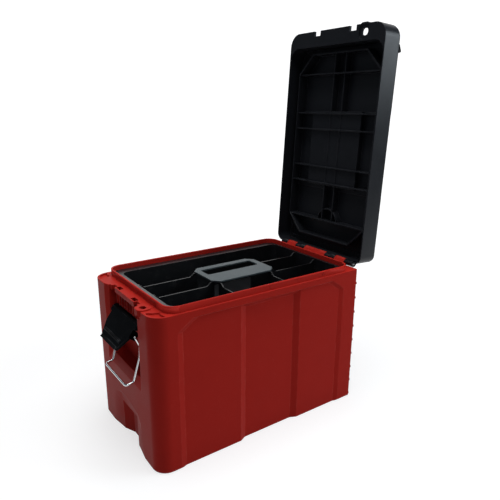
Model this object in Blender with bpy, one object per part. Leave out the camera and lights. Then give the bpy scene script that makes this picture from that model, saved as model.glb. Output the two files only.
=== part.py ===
"""Tall moulded tool box with a hinged lid, a lift-out tray and a wire draw latch.

Metres, +Z up. The origin is the centre of the base underside. The latch end faces -Y, the
hinge end +Y. The rest pose is the photograph's: lid open on its stop, tray in, lever tilted out.
"""
import math

import bmesh
import bpy
from mathutils import Matrix, Vector

for old in list(bpy.data.objects):
    bpy.data.objects.remove(old, do_unlink=True)

# Clearances
FIT_GAP = 0.0003
RUN_GAP = 0.0010
LOOSE_GAP = 0.0025

# Box body
BODY_LENGTH = 0.402
BODY_WIDTH = 0.2446
BODY_HEIGHT = 0.2613
BODY_RADIUS = 0.026
BACK_RADIUS = 0.004
BACK_PROUD = 0.003
BODY_DRAFT = 0.0017
FOOT_ROUND = 0.0015
FLOOR_THICKNESS = 0.0035
WALL_THICKNESS = 0.0032

# Rim that the lid closes over, and the ledges around it
RIM_HEIGHT = 0.011
RIM_THICKNESS = 0.003
RIM_RADIUS = 0.022
SIDE_LEDGE = 0.0033
FRONT_LEDGE = 0.021
BACK_LEDGE = 0.0135
SEAT_STEP = 0.0016
SEAT_DROP = 0.001
RIM_PAD_LENGTH = 0.030
RIM_PAD_PROUD = 0.0007
RIM_NUB_RADIUS = 0.0022
RIM_NUB_FIRST = 0.005
RIM_NUB_PITCH = 0.0575
RIM_NUB_COUNT = 3

# Long-side panels
PANEL_DEPTH = 0.003
PANEL_SLOPE = 0.0095
PANEL_TOP_SLOPE = 0.0015
PANEL_FRONT = 0.044
PANEL_BACK = 0.0405
PANEL_TOP = 0.0125
PANEL_CHAMFER_RUN = 0.027
PANEL_CHAMFER_RISE = 0.0185
MID_DEPTH = 0.0085
MID_CENTRE = 0.0085
MID_LENGTH = 0.099
MID_SLOPE = 0.0115
MID_TOP_FADE = 0.007

# Latch recess in the front end
RECESS_WIDTH = 0.116
SILL_OVER_BAR = 0.014
RECESS_DEPTH = 0.021
LIP_THICKNESS = 0.0083
LIP_SETBACK = 0.003
GUSSET_COUNT = 8
GUSSET_PITCH = 0.011
GUSSET_THICKNESS = 0.0026
GUSSET_HEIGHT = 0.020
LOCATOR_OFFSET = 0.030
LOCATOR_WIDTH = 0.015
LOCATOR_DEPTH = 0.007

# Front end: posts proud of the opening around the latch, the toe arch, and core holes up the posts
POST_PROUD = 0.0045
POST_SLOPE = 0.011
CHIN_DROP = 0.023
TOE_WIDTH = 0.137
TOE_WAIST = 0.114
TOE_SHOULDER = 0.060
TOE_HEIGHT = 0.084
TOE_DEPTH = 0.0055
GROOVE_WIDTH = 0.060
GROOVE_FLOOR = 0.016
GROOVE_DEPTH = 0.0105
GROOVE_HEIGHT = 0.056
CORE_WIDTH = 0.034
CORE_DEPTH = 0.012
CORE_TOP = 0.0463

# Padlock eye
EYE_OFFSET = 0.073
EYE_WIDTH = 0.022
EYE_REACH = 0.003
EYE_RISE = 0.002
EYE_HOLE_WIDTH = 0.012
EYE_HOLE_DEPTH = 0.009
SHACKLE_ROOM = 0.0055
SHACKLE_WIDTH = 0.011
LID_EYE_WIDTH = 0.013
LID_EYE_DEPTH = 0.012

# Corner pockets on the front ledge
POCKET_RADIUS = 0.0225
POCKET_BAND = 0.018
POCKET_DEPTH = 0.0035

# Back ribs
BACK_POCKET_WIDTH = 0.184
BACK_POCKET_DEPTH = 0.0165
BACK_RIB_COUNT = 9
BACK_RIB_THICKNESS = 0.0036
BACK_RIB_PROUD = 0.0015
BACK_RIB_FIRST = 0.0052
BACK_RIB_TOP = 0.0273

# Hinge
HINGE_OUT = 0.0107
HINGE_UP = 0.0038
HINGE_BARREL = 0.0062
HINGE_PIN_RADIUS = 0.0025
HINGE_PIN_LENGTH = 0.208
LUG_MIDDLE_WIDTH = 0.060
LUG_SIDE_OFFSET = 0.071
LUG_SIDE_WIDTH = 0.026
KNUCKLE_INNER_OFFSET = 0.044
KNUCKLE_INNER_WIDTH = 0.0262
KNUCKLE_OUTER_OFFSET = 0.0945
KNUCKLE_OUTER_WIDTH = 0.0195
LID_OPEN_ANGLE = math.radians(93.7)

# Lid
LID_DEPTH = 0.0408
LID_RADIUS = 0.024
LID_BACK_RADIUS = 0.015
LID_OVERHANG = 0.009
LID_SKIRT = 0.0022
LID_PANEL = 0.0033
LID_ZONE_DROP = 0.003
LID_ZONE_FRONT = -0.061
LID_ZONE_BACK = 0.085
LID_WALL = 0.0024
LID_WALL_INSET = 0.0085
LID_WALL_FRONT = 0.0078
LID_WALL_BACK = 0.0015
LID_WALL_CHAMFER = 0.036
LID_WALL_EDGE = 0.016
LID_ARC_RADIUS = 0.028
LID_RIB = 0.0024
LID_RIB_EDGE = 0.019
LID_RIB_PLACES = (-0.134, -0.060, -0.029, 0.044, 0.076, 0.150)
LID_SPINE_OFFSET = 0.014
LID_SPINE_EDGE = 0.023
LID_FLANGE = 0.005
LID_CHEEK = 0.024
LUG_STACK_WIDTH = 0.018
LUG_STACK_HEIGHT = 0.0042
LUG_STACK_PLACE = -0.167
LUG_STACK_RAMP = 0.010
NOTCH_OFFSET = 0.046
NOTCH_WIDTH = 0.016
NOTCH_DEPTH = 0.009
LIP_NOTCH_WIDTH = 0.012
LIP_NOTCH_DEPTH = 0.006
CATCH_WIDTH = 0.072
CATCH_BASE = 0.012
CATCH_SEAT = 0.0192
CATCH_LIP = 0.0026
CATCH_LIP_RISE = 0.0028
CATCH_REACH = 0.0194

# Carry handle in the well on the lid
WELL_WIDTH = 0.124
WELL_FRONT = -0.061
WELL_BACK = 0.077
WELL_DEPTH = 0.010
GRIP_ROOM = 0.004
GRIP_WIDTH = 0.024
GRIP_THICKNESS = 0.011
GRIP_LEG = 0.022
GRIP_PIN_RADIUS = 0.0025
GRIP_BARREL = 0.0055
GRIP_BRACKET = 0.003

# Tray
TRAY_DEPTH = 0.064
TRAY_FLANGE = 0.003
TRAY_WALL = 0.0022
TRAY_FLANGE_SIDE = 0.016
TRAY_FLANGE_FRONT = 0.0115
TRAY_FLANGE_BACK = 0.003
TRAY_RADIUS = 0.016
TRAY_DRAFT = 0.0025
DIVIDER_THICKNESS = 0.0020
DIVIDER_DROP = 0.0078
DIVIDER_RISE = 0.0060
DIVIDER_RAMP = 0.010
DIVIDER_LAP = 0.006

# Tray handle plate
PLATE_LENGTH = 0.130
PLATE_WIDTH = 0.083
PLATE_THICKNESS = 0.0032
PLATE_CHAMFER = 0.012
PLATE_X = 0.002
PLATE_Y = 0.010
SLOT_LENGTH = 0.107
SLOT_WIDTH = 0.030
SLOT_EDGE = 0.013
SLOT_CORNER = 0.004

# Latch lever, its pin and the wire bail
LEVER_LENGTH = 0.051
LEVER_TOP_WIDTH = 0.104
LEVER_WAIST = 0.091
LEVER_TIP_WIDTH = 0.062
LEVER_SHOULDER = 0.009
LEVER_TAPER_FROM = 0.024
LEVER_PLATE_IN = 0.0015
LEVER_PLATE_OUT = 0.0065
LEVER_BARREL = 0.006
LEVER_PIVOT_IN = 0.008
LEVER_PIVOT_DROP = 0.0393
LEVER_TILT = math.radians(38.2)
LEVER_PIN_RADIUS = 0.002
LEVER_PIN_SEAT = 0.004
LEVER_CHEEK = 0.003
BAIL_ARM = 0.018
BAIL_SET = 0.003
BAIL_WIRE = 0.0019
BAIL_LENGTH = 0.079
BAIL_REACH = 0.0192
BAIL_BOW = 0.0065
BAIL_BEND = 0.005
BAIL_TAPER = 0.0045

# Values that follow from the sizes above
HALF_L = BODY_LENGTH / 2
HALF_W = BODY_WIDTH / 2
FRONT = -HALF_L - POST_PROUD
BACK = HALF_L + BACK_PROUD
LEDGE = BODY_HEIGHT
RIM_X = HALF_W - SIDE_LEDGE
RIM_Y0 = -HALF_L + FRONT_LEDGE
RIM_Y1 = HALF_L - BACK_LEDGE
SEAT = LEDGE - SEAT_DROP
HINGE_Y = HALF_L + HINGE_OUT
HINGE_Z = LEDGE + HINGE_UP
LID_Z = LEDGE + FIT_GAP
LID_TOP = LEDGE + LID_DEPTH
ZONE_TOP = LID_TOP - LID_ZONE_DROP
LID_FREE = -HALF_L - LID_OVERHANG
LID_BACK = HALF_L + LID_OVERHANG
RECESS_BACK = -HALF_L + RECESS_DEPTH
LIP_FRONT = -HALF_L + LIP_SETBACK
PIVOT_Y = -HALF_L + LEVER_PIVOT_IN
PIVOT_Z = LEDGE - LEVER_PIVOT_DROP
HANG_Z = PIVOT_Z - BAIL_SET * math.sin(LEVER_TILT) - BAIL_ARM * math.cos(LEVER_TILT)
RECESS_SILL = HANG_Z - BAIL_LENGTH + SILL_OVER_BAR
CORE_HEIGHT = LEDGE - CORE_TOP
BACK_RIB_PITCH = (LEDGE - BACK_RIB_TOP - BACK_RIB_FIRST) / (BACK_RIB_COUNT - 1)
GRIP_ARM = WELL_WIDTH / 2 - GRIP_WIDTH / 2 - GRIP_ROOM
BEYOND = 0.020


def rounded_rect(x0, x1, y0, y1, radius, steps=8, back_radius=None):
    """Counter-clockwise outline with round corners; the +Y corners may have their own radius."""
    far = radius if back_radius is None else back_radius
    points = []
    corners = ((x1 - far, y1 - far, 0, far), (x0 + far, y1 - far, 90, far),
               (x0 + radius, y0 + radius, 180, radius), (x1 - radius, y0 + radius, 270, radius))
    for cx, cy, start, r in corners:
        for i in range(steps + 1):
            a = math.radians(start + 90 * i / steps)
            points.append((cx + r * math.cos(a), cy + r * math.sin(a)))
    return points


def chamfered_rect(x0, x1, y0, y1, cut):
    """Counter-clockwise outline with cut corners."""
    return [(x1, y0 + cut), (x1, y1 - cut), (x1 - cut, y1), (x0 + cut, y1),
            (x0, y1 - cut), (x0, y0 + cut), (x0 + cut, y0), (x1 - cut, y0)]


def circle(cx, cy, radius, steps=20):
    """Points around a circle."""
    turn = 2 * math.pi / steps
    return [(cx + radius * math.cos(turn * i), cy + radius * math.sin(turn * i)) for i in range(steps)]


def hull(points):
    """Convex outline around points in a plane."""
    points = sorted(set(points))

    def half(run):
        chain = []
        for p in run:
            while len(chain) > 1:
                (ax, ay), (bx, by) = chain[-2], chain[-1]
                if (bx - ax) * (p[1] - ay) - (by - ay) * (p[0] - ax) > 0:
                    break
                chain.pop()
            chain.append(p)
        return chain[:-1]

    return half(points) + half(points[::-1])


def loft(sections):
    """Closed solid through rings of 3-D points, all with the same count."""
    bm = bmesh.new()
    rings = [[bm.verts.new(p) for p in ring] for ring in sections]
    count = len(rings[0])
    for low, high in zip(rings, rings[1:]):
        for i in range(count):
            j = (i + 1) % count
            bm.faces.new((low[i], low[j], high[j], high[i]))
    bm.faces.new(rings[0][::-1])
    bm.faces.new(rings[-1])
    bmesh.ops.recalc_face_normals(bm, faces=bm.faces)
    mesh = bpy.data.meshes.new("solid")
    bm.to_mesh(mesh)
    bm.free()
    return mesh


def prism_z(outline, z0, z1):
    """Outline in X and Y drawn up Z."""
    return loft([[(x, y, z) for x, y in outline] for z in (z0, z1)])


def prism_x(profile, x0, x1):
    """Profile in Y and Z drawn along X."""
    return loft([[(x, y, z) for y, z in profile] for x in (x0, x1)])


def prism_y(profile, y0, y1):
    """Profile in X and Z drawn along Y."""
    return loft([[(x, y, z) for x, z in profile] for y in (y0, y1)])


def block(x0, x1, y0, y1, z0, z1):
    """Plain box."""
    return prism_z([(x0, y0), (x1, y0), (x1, y1), (x0, y1)], z0, z1)


def mirrored(build, *args):
    """The solid that build makes on +X, and its twin on -X."""
    one = build(*args)
    two = one.copy()
    two.transform(Matrix.Scale(-1, 4, Vector((1, 0, 0))))
    two.flip_normals()
    return [one, two]


def tube(path, radius, steps=10):
    """Round wire along a list of points, closed at both ends."""
    points = [Vector(p) for p in path]
    rings = []
    side = None
    for i, p in enumerate(points):
        before = points[max(i - 1, 0)]
        after = points[min(i + 1, len(points) - 1)]
        along = (after - before).normalized()
        if side is None:
            side = along.orthogonal().normalized()
        side = (side - along * side.dot(along)).normalized()
        other = along.cross(side)
        ring = []
        for k in range(steps):
            a = 2 * math.pi * k / steps
            ring.append(p + (side * math.cos(a) + other * math.sin(a)) * radius)
        rings.append(ring)
    return loft(rings)


def rounded_path(corners, radius, steps=4):
    """Straight runs joined by bends of one radius."""
    points = [Vector(corners[0])]
    for before, here, after in zip(corners, corners[1:], corners[2:]):
        here = Vector(here)
        one = Vector(before) - here
        two = Vector(after) - here
        half = one.angle(two) / 2
        back = min(radius / math.tan(half), one.length * 0.48, two.length * 0.48)
        start = here + one.normalized() * back
        end = here + two.normalized() * back
        for i in range(steps + 1):
            t = i / steps
            points.append(start * (1 - t) ** 2 + here * (2 * t * (1 - t)) + end * t ** 2)
    points.append(Vector(corners[-1]))
    return points


def holder(mesh):
    """Scratch object that carries a mesh into a Boolean."""
    obj = bpy.data.objects.new("scratch", mesh)
    obj.hide_render = True
    obj.display_type = "WIRE"
    bpy.context.collection.objects.link(obj)
    return obj


def combine(mesh, tools, operation):
    """Mesh after each tool is joined to it or cut from it in turn."""
    body = holder(mesh)
    for tool in tools:
        other = holder(tool)
        modifier = body.modifiers.new("step", "BOOLEAN")
        modifier.solver = "EXACT"
        modifier.operation = operation
        modifier.object = other
        graph = bpy.context.evaluated_depsgraph_get()
        result = bpy.data.meshes.new_from_object(body.evaluated_get(graph))
        body.modifiers.clear()
        body.data = result
        bpy.data.objects.remove(other, do_unlink=True)
    result = body.data
    bpy.data.objects.remove(body, do_unlink=True)
    return result


def join(mesh, *tools):
    """Union of a mesh and more solids."""
    return combine(mesh, tools, "UNION")


def cut(mesh, *tools):
    """Mesh with solids taken away."""
    return combine(mesh, tools, "DIFFERENCE")


def piece(name, mesh, colour, roughness, metallic, origin, smooth_angle=35):
    """Named object with its own material and its origin at a given point."""
    bm = bmesh.new()
    bm.from_mesh(mesh)
    bmesh.ops.remove_doubles(bm, verts=bm.verts, dist=0.000002)
    bmesh.ops.dissolve_degenerate(bm, edges=bm.edges, dist=0.000002)
    bmesh.ops.translate(bm, verts=bm.verts, vec=-Vector(origin))
    bm.to_mesh(mesh)
    bm.free()
    mesh.name = name
    for polygon in mesh.polygons:
        polygon.use_smooth = True
    mesh.set_sharp_from_angle(angle=math.radians(smooth_angle))
    material = bpy.data.materials.new(name)
    material.use_nodes = True
    shader = material.node_tree.nodes["Principled BSDF"]
    shader.inputs["Base Color"].default_value = (*colour, 1)
    shader.inputs["Roughness"].default_value = roughness
    shader.inputs["Metallic"].default_value = metallic
    mesh.materials.clear()
    mesh.materials.append(material)
    obj = bpy.data.objects.new(name, mesh)
    obj.location = origin
    bpy.context.collection.objects.link(obj)
    return obj


def wall_x(z):
    """Outer face of a long side at height z, with its draft."""
    return HALF_W - BODY_DRAFT * (1 - z / BODY_HEIGHT)


def rim_outline(inset):
    """Outline of the raised rim, moved in by inset."""
    return rounded_rect(-RIM_X + inset, RIM_X - inset, RIM_Y0 + inset, RIM_Y1 - inset,
                        RIM_RADIUS - inset)


def body_outline(inset, front_inset):
    """Outline of the box, moved in by inset, and at the latch end by front_inset."""
    return rounded_rect(-HALF_W + inset, HALF_W - inset, FRONT + front_inset, BACK - inset,
                        BODY_RADIUS - inset, back_radius=BACK_RADIUS - inset)


def middle_recess(depth, grow, top):
    """Wedge that sets the middle of a long side back, or the same wedge grown by a wall."""
    run = MID_SLOPE / (MID_DEPTH - PANEL_DEPTH)
    inner = MID_LENGTH / 2 + grow
    outer = inner + run * depth
    rings = []
    for z, shallow in ((-BEYOND, 0), (top - MID_TOP_FADE, 0), (top, MID_DEPTH - PANEL_DEPTH)):
        x = wall_x(z)
        half = inner + run * shallow
        floor = x - depth + shallow
        proud = x + BEYOND
        ring = [(floor, -half), (floor, half), (x, outer), (proud, outer), (proud, -outer), (x, -outer)]
        rings.append([(px, MID_CENTRE + py, z) for px, py in ring])
    return loft(rings)


def side_panel():
    """Shallow panel on a long side, with cut upper corners and sloped ends."""
    y0 = -HALF_L + PANEL_FRONT
    y1 = HALF_L - PANEL_BACK
    top = LEDGE - PANEL_TOP
    low_corner = top - PANEL_CHAMFER_RISE
    profile = [(y0, -BEYOND), (y1, -BEYOND), (y1, low_corner), (y1 - PANEL_CHAMFER_RUN, top),
               (y0 + PANEL_CHAMFER_RUN, top), (y0, low_corner)]
    middle = (y0 + y1) / 2
    past = 1 + RUN_GAP / PANEL_DEPTH
    inner = [(wall_x(z) - PANEL_DEPTH, y, z) for y, z in profile]
    outer = []
    for y, z in profile:
        grow = PANEL_SLOPE * past if y > middle else -PANEL_SLOPE * past
        rise = PANEL_TOP_SLOPE * past if z > 0 else 0
        outer.append((wall_x(z) + RUN_GAP, y + grow, z + rise))
    return loft([inner, outer])


def scoop(y0, y1, mouth, floor, z):
    """Ring of a scoop in the latch end: mouth is its half width at y0, floor its half width at y1."""
    ahead = LOOSE_GAP
    wide = mouth + (mouth - floor) / (y1 - y0) * ahead
    return [(-wide, y0 - ahead, z), (wide, y0 - ahead, z), (floor, y1, z), (-floor, y1, z)]


def latch_opening():
    """Space between the front posts, with sloped sides and a chin under the sill."""
    floor = RECESS_WIDTH / 2
    mouth = floor + POST_SLOPE
    shallow = FRONT - LOOSE_GAP / 2
    run = POST_SLOPE / POST_PROUD
    chin = scoop(FRONT, shallow, mouth, mouth + run * (FRONT - shallow), RECESS_SILL - CHIN_DROP)
    return loft([chin] + [scoop(FRONT, -HALF_L, mouth, floor, z) for z in (RECESS_SILL,
                                                                           LEDGE + BEYOND)])


def toe_arch():
    """Shallow arch at the foot of the latch end, wider at the floor."""
    wide = TOE_WIDTH / 2
    waist = TOE_WAIST / 2
    steps = ((-BEYOND, wide, 1), (0, wide, 1), (TOE_SHOULDER * 0.22, wide * 0.7 + waist * 0.3, 1),
             (TOE_SHOULDER * 0.55, waist + RIM_THICKNESS, 1), (TOE_SHOULDER, waist, 0.9),
             (TOE_HEIGHT * 0.86, waist * 0.8, 0.6), (TOE_HEIGHT, waist * 0.55, -0.2))
    rings = []
    for z, mouth, share in steps:
        floor = min(GROOVE_WIDTH / 2 + LOOSE_GAP, mouth * 0.6)
        rings.append(scoop(FRONT, FRONT + TOE_DEPTH * share, mouth, floor, z))
    return loft(rings)


def toe_groove():
    """Deeper groove with sloped sides in the middle of the toe arch."""
    y0 = FRONT + TOE_DEPTH
    return loft([scoop(y0, -HALF_L + GROOVE_DEPTH, GROOVE_WIDTH / 2, GROOVE_FLOOR / 2, z)
                 for z in (-BEYOND, GROOVE_HEIGHT)])


def core_hole():
    """Moulding core hole up a front corner post, open at the base."""
    x0 = TOE_WIDTH / 2 + WALL_THICKNESS
    y0 = FRONT + WALL_THICKNESS + LOOSE_GAP
    return block(x0, x0 + CORE_WIDTH, y0, y0 + CORE_DEPTH, -BEYOND, CORE_HEIGHT)


def ledge_pocket():
    """Shallow curved pocket at a front corner of the ledge."""
    cx = HALF_W - BODY_RADIUS
    cy = FRONT + BODY_RADIUS
    outer = []
    inner = []
    for i in range(9):
        a = math.radians(-105 + 95 * i / 8)
        outer.append((cx + POCKET_RADIUS * math.cos(a), cy + POCKET_RADIUS * math.sin(a)))
        short = POCKET_RADIUS - POCKET_BAND * math.sin(math.pi * (i + 0.5) / 9)
        inner.append((cx + short * math.cos(a), cy + short * math.sin(a)))
    return prism_z(outer + inner[::-1], LEDGE - POCKET_DEPTH, LEDGE + BEYOND)


def back_rib(index):
    """One horizontal rib of the hinge end, wrapped a little round both corners."""
    z = BACK_RIB_FIRST + BACK_RIB_PITCH * index
    draft = BODY_DRAFT * (1 - z / BODY_HEIGHT)
    cx = wall_x(z) - BACK_RADIUS
    cy = BACK - BACK_RADIUS - draft
    radius = BACK_RADIUS + BACK_RIB_PROUD
    arc = []
    for i in range(6):
        a = math.radians(50 + 40 * i / 5)
        arc.append((cx + radius * math.cos(a), cy + radius * math.sin(a)))
    outline = arc + [(-x, y) for x, y in reversed(arc)]
    inside = BACK - BACK_POCKET_DEPTH - WALL_THICKNESS / 2
    outline += [(-cx, inside), (cx, inside)]
    half = BACK_RIB_THICKNESS / 2
    return prism_z(outline, z - half, z + half)


# Body shell: one red moulding with ledge, rim, recess, panels, ribs and hinge lugs
foot = [(BODY_DRAFT + FOOT_ROUND, FOOT_ROUND, 0),
        (BODY_DRAFT + FOOT_ROUND * 0.3, FOOT_ROUND * 0.3, FOOT_ROUND * 0.3),
        (BODY_DRAFT, 0, FOOT_ROUND), (0, 0, LEDGE)]
body = loft([[(x, y, z) for x, y in body_outline(inset, front)] for inset, front, z in foot])
body = join(body, prism_z(rim_outline(0), LEDGE - RIM_THICKNESS, LEDGE + RIM_HEIGHT))

cavity = prism_z(rim_outline(RIM_THICKNESS + SEAT_STEP), FLOOR_THICKNESS, SEAT + RIM_THICKNESS)
bulges = mirrored(middle_recess, MID_DEPTH + WALL_THICKNESS, WALL_THICKNESS / 2,
                  LEDGE - PANEL_TOP + WALL_THICKNESS)
cavity = cut(cavity, *bulges)
body = cut(body, cavity, prism_z(rim_outline(RIM_THICKNESS), SEAT, LEDGE + RIM_HEIGHT + BEYOND))

body = cut(body, *mirrored(side_panel))
body = cut(body, *mirrored(middle_recess, MID_DEPTH, 0, LEDGE - PANEL_TOP))

recess_half = RECESS_WIDTH / 2
lip_under = LEDGE - LIP_THICKNESS
body = cut(body, block(-recess_half, recess_half, FRONT - BEYOND, RECESS_BACK, RECESS_SILL, lip_under))
body = cut(body, block(-recess_half, recess_half, FRONT - BEYOND, LIP_FRONT, lip_under - RIM_THICKNESS,
                       LEDGE + BEYOND))
body = cut(body, latch_opening(), toe_arch(), toe_groove())
body = cut(body, *mirrored(core_hole))
body = cut(body, *mirrored(ledge_pocket))

for i in range(GUSSET_COUNT):
    gx = (i - (GUSSET_COUNT - 1) / 2) * GUSSET_PITCH
    low = lip_under - GUSSET_HEIGHT
    toe = LIP_FRONT + GUSSET_THICKNESS
    rear = RECESS_BACK + WALL_THICKNESS / 2
    high = lip_under + WALL_THICKNESS
    profile = [(rear, low), (rear, high), (toe, high), (toe, low)]
    body = join(body, prism_x(profile, gx - GUSSET_THICKNESS / 2, gx + GUSSET_THICKNESS / 2))

locator_y = (LIP_FRONT + RIM_Y0) / 2 - RIM_THICKNESS
for side in (-1, 1):
    lx = side * LOCATOR_OFFSET
    body = cut(body, block(lx - LOCATOR_WIDTH / 2, lx + LOCATOR_WIDTH / 2,
                           locator_y - LOCATOR_DEPTH / 2, locator_y + LOCATOR_DEPTH / 2,
                           lip_under - RIM_THICKNESS, LEDGE + BEYOND))
    nx = side * NOTCH_OFFSET
    body = cut(body, block(nx - LIP_NOTCH_WIDTH / 2, nx + LIP_NOTCH_WIDTH / 2, FRONT - BEYOND,
                           LIP_FRONT + LIP_NOTCH_DEPTH, lip_under - RIM_THICKNESS, LEDGE + BEYOND))

# Padlock eye: a lug on the ledge with a hole through it and room under it for the shackle
eye_front = FRONT - EYE_REACH
eye_back = RIM_Y0 - RIM_THICKNESS * 2
eye_y = (eye_front + eye_back) / 2
eye_lug = rounded_rect(EYE_OFFSET - EYE_WIDTH / 2, EYE_OFFSET + EYE_WIDTH / 2, eye_front, eye_back,
                       EYE_WIDTH * 0.35)
eye_hole = rounded_rect(EYE_OFFSET - EYE_HOLE_WIDTH / 2, EYE_OFFSET + EYE_HOLE_WIDTH / 2,
                        eye_y - EYE_HOLE_DEPTH / 2, eye_y + EYE_HOLE_DEPTH / 2, EYE_HOLE_DEPTH * 0.45)
body = cut(body, block(EYE_OFFSET - SHACKLE_WIDTH / 2, EYE_OFFSET + SHACKLE_WIDTH / 2, FRONT - BEYOND,
                       eye_y + EYE_HOLE_DEPTH, lip_under - SHACKLE_ROOM, lip_under))
body = join(body, prism_z(eye_lug, lip_under, LEDGE + EYE_RISE))
body = cut(body, prism_z(eye_hole, lip_under - RIM_THICKNESS, LEDGE + BEYOND))

# Hinge end: pocketed wall with ribs, and three lugs for the pin
pocket_half = BACK_POCKET_WIDTH / 2
rib_last = BACK_RIB_FIRST + BACK_RIB_PITCH * (BACK_RIB_COUNT - 1)
body = cut(body, block(-pocket_half, pocket_half, BACK - BACK_POCKET_DEPTH, BACK + BEYOND,
                       BACK_RIB_FIRST, rib_last))
for i in range(BACK_RIB_COUNT):
    body = join(body, back_rib(i))
barrel = circle(HINGE_Y, HINGE_Z, HINGE_BARREL)
lug_root = [(HALF_L - LOOSE_GAP, LEDGE - 3 * HINGE_BARREL), (HALF_L - LOOSE_GAP, LEDGE - RUN_GAP),
            (HALF_L + RUN_GAP, LEDGE - RUN_GAP)]
lug_profile = hull(barrel + lug_root)
hinge_lugs = ((0, LUG_MIDDLE_WIDTH), (-LUG_SIDE_OFFSET, LUG_SIDE_WIDTH), (LUG_SIDE_OFFSET,
                                                                          LUG_SIDE_WIDTH))
for centre, width in hinge_lugs:
    body = join(body, prism_x(lug_profile, centre - width / 2, centre + width / 2))
hinge_bore = prism_x(circle(HINGE_Y, HINGE_Z, HINGE_PIN_RADIUS + FIT_GAP, 16), -HALF_W, HALF_W)
body = cut(body, hinge_bore.copy())

# Rim details: low pads on the front face, snap nubs along the long sides
pad_step = (RIM_X - RIM_RADIUS) * 2 / 3
for i in (-1, 0, 1):
    px = i * pad_step
    body = join(body, block(px - RIM_PAD_LENGTH / 2, px + RIM_PAD_LENGTH / 2, RIM_Y0 - RIM_PAD_PROUD,
                            RIM_Y0 + RIM_THICKNESS / 2, LEDGE - RIM_PAD_PROUD,
                            LEDGE + RIM_HEIGHT * 0.7))
for i in range(RIM_NUB_COUNT):
    spot = circle(RIM_NUB_FIRST + i * RIM_NUB_PITCH, LEDGE + RIM_HEIGHT * 0.6, RIM_NUB_RADIUS, 8)
    body = join(body, *mirrored(prism_x, spot, RIM_X - RIM_THICKNESS / 2, RIM_X + RIM_PAD_PROUD))

# Bores for the latch pin in both cheeks of the recess
pin_half = recess_half + LEVER_PIN_SEAT
body = cut(body, prism_x(circle(PIVOT_Y, PIVOT_Z, LEVER_PIN_RADIUS + FIT_GAP, 16), -pin_half - FIT_GAP,
                         pin_half + FIT_GAP))
piece("body_shell", body, (0.26, 0.012, 0.010), 0.45, 0, (0, 0, 0), 14)

hinge_pin = prism_x(circle(HINGE_Y, HINGE_Z, HINGE_PIN_RADIUS, 16), -HINGE_PIN_LENGTH / 2,
                    HINGE_PIN_LENGTH / 2)
piece("hinge_pin", hinge_pin, (0.45, 0.45, 0.47), 0.3, 1, (0, HINGE_Y, HINGE_Z))

# Lid shell, drawn closed and turned open at the end
open_lid = (Matrix.Translation((0, HINGE_Y, HINGE_Z)) @ Matrix.Rotation(-LID_OPEN_ANGLE, 4, "X")
            @ Matrix.Translation((0, -HINGE_Y, -HINGE_Z)))


def lid_outline(inset):
    """Outline of the lid, moved in by inset."""
    return rounded_rect(-HALF_W + inset, HALF_W - inset, LID_FREE + inset, LID_BACK - inset,
                        LID_RADIUS - inset, back_radius=LID_BACK_RADIUS - inset)


crown = [(0.0, LID_Z), (0.0, LID_TOP - 0.006), (0.0012, LID_TOP - 0.0024), (0.0034, LID_TOP - 0.0006),
         (0.0062, LID_TOP)]
lid = loft([[(x, y, z) for x, y in lid_outline(inset)] for inset, z in crown])

ceiling = LID_TOP - LID_PANEL
zone_ceiling = ZONE_TOP - LID_PANEL
groove_x = HALF_W - LID_SKIRT
groove_y0 = RIM_Y0 - RUN_GAP - RIM_PAD_PROUD
groove_y1 = LID_BACK - LID_SKIRT
hollow = prism_z(rounded_rect(-groove_x, groove_x, groove_y0, groove_y1, LID_RADIUS - LID_SKIRT,
                              back_radius=LID_BACK_RADIUS - LID_SKIRT), LID_Z - BEYOND, zone_ceiling)
upper = (block(-groove_x + LID_RADIUS / 3, groove_x - LID_RADIUS / 3, groove_y0 + LID_RADIUS / 3,
               LID_ZONE_FRONT - LID_PANEL, zone_ceiling - LID_PANEL, ceiling),
         block(-groove_x + LID_RADIUS / 3, groove_x - LID_RADIUS / 3, LID_ZONE_BACK + LID_PANEL,
               groove_y1 - LID_RADIUS / 3, zone_ceiling - LID_PANEL, ceiling))
lid = cut(lid, hollow, *upper)

# Inner wall above the closed rim, cross ribs, the double spine and the arc near the hinge
in_x = RIM_X - RIM_THICKNESS - LID_WALL_INSET
in_y0 = RIM_Y0 + LID_WALL_FRONT
in_y1 = RIM_Y1 - LID_WALL_BACK
root = ceiling + LID_PANEL / 2
wall = cut(prism_z(chamfered_rect(-in_x, in_x, in_y0, in_y1, LID_WALL_CHAMFER), LEDGE + LID_WALL_EDGE,
                   root), prism_z(chamfered_rect(-in_x + LID_WALL, in_x - LID_WALL, in_y0 + LID_WALL,
                                                 in_y1 - LID_WALL, LID_WALL_CHAMFER), LEDGE,
                                  root + BEYOND))
well_floor = ZONE_TOP - WELL_DEPTH
well_under = well_floor - LID_PANEL
bulge = block(-WELL_WIDTH / 2 - LID_PANEL, WELL_WIDTH / 2 + LID_PANEL, WELL_FRONT - LID_PANEL,
              WELL_BACK + LID_PANEL, well_under, zone_ceiling + LID_PANEL / 2)
lid = join(lid, wall, bulge)
for place in LID_RIB_PLACES:
    lid = join(lid, block(-in_x + LID_WALL / 2, in_x - LID_WALL / 2, place - LID_RIB / 2,
                          place + LID_RIB / 2, LEDGE + LID_RIB_EDGE, root))
for side in (-1, 1):
    sx = side * LID_SPINE_OFFSET
    lid = join(lid, block(sx - LID_RIB / 2, sx + LID_RIB / 2, in_y0 + LID_WALL / 2, LID_RIB_PLACES[-1],
                          LEDGE + LID_SPINE_EDGE, root))
arc_y = LID_RIB_PLACES[-1] + LID_RIB
arc_outer = []
arc_inner = []
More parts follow.
